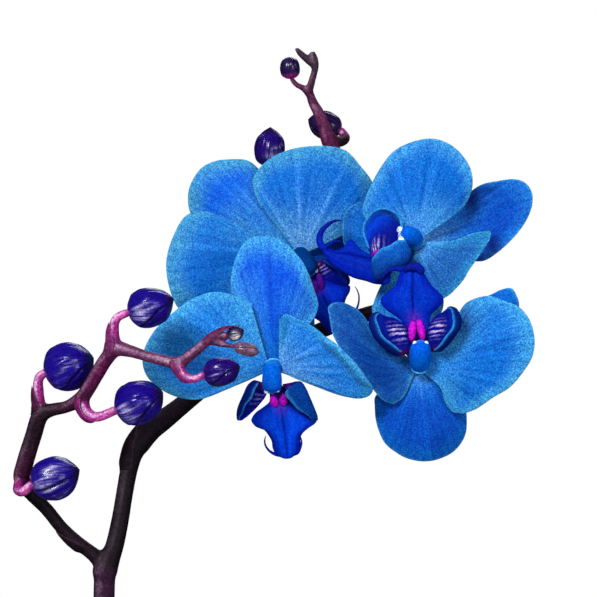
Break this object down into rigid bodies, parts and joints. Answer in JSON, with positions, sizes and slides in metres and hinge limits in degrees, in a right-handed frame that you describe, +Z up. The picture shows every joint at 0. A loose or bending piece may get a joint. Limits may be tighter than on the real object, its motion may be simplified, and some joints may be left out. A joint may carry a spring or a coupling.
{
  "type": "moth orchid in vase",
  "caption": "Cut spray of a blue moth orchid with open flowers and dark buds on a forked stem, standing in a plain glazed bottle vase.",
  "frame": {"origin": "middle of the vase's foot, on the surface it stands on", "axes": "+Z up along the stem, the flowers look towards -Y, and the spray leans towards +X"},
  "size_m": [0.2158, 0.1205, 0.4748],
  "materials": {
    "petal": "satin petal, azure blue",
    "sepal": "satin sepal, azure blue",
    "lip": "waxy, deep ultramarine with magenta",
    "column": "waxy, mid blue with a white tip",
    "bud": "glossy, dark indigo",
    "stem": "waxy, purple-brown",
    "vase": "glossy off-white glaze",
    "water": "clear water"
  },
  "bodies": {
    "root": {"front_dorsal_sepal": "sepal", "front_lateral_sepal_left": "sepal", "front_lateral_sepal_right": "sepal", "front_petal_left": "petal", "front_petal_right": "petal", "front_lip": "lip", "front_column": "column", "back_dorsal_sepal": "sepal", "back_lateral_sepal_left": "sepal", "back_lateral_sepal_right": "sepal", "back_petal_left": "petal", "back_petal_right": "petal", "back_lip": "lip", "back_column": "column", "right_dorsal_sepal": "sepal", "right_lateral_sepal_left": "sepal", "right_lateral_sepal_right": "sepal", "right_petal_left": "petal", "right_petal_right": "petal", "right_lip": "lip", "right_column": "column", "low_dorsal_sepal": "sepal", "low_lateral_sepal_left": "sepal", "low_lateral_sepal_right": "sepal", "low_petal_left": "petal", "low_petal_right": "petal", "low_lip": "lip", "low_column": "column", "bud_1": "bud", "bud_2": "bud", "bud_3": "bud", "bud_4": "bud", "bud_5": "bud", "bud_tip_1": "bud", "bud_tip_2": "bud", "bud_top_1": "bud", "bud_top_2": "bud", "bud_top_3": "bud", "flower_stem": "stem", "vase": "vase", "water": "water"}
  },
  "joints": []
}
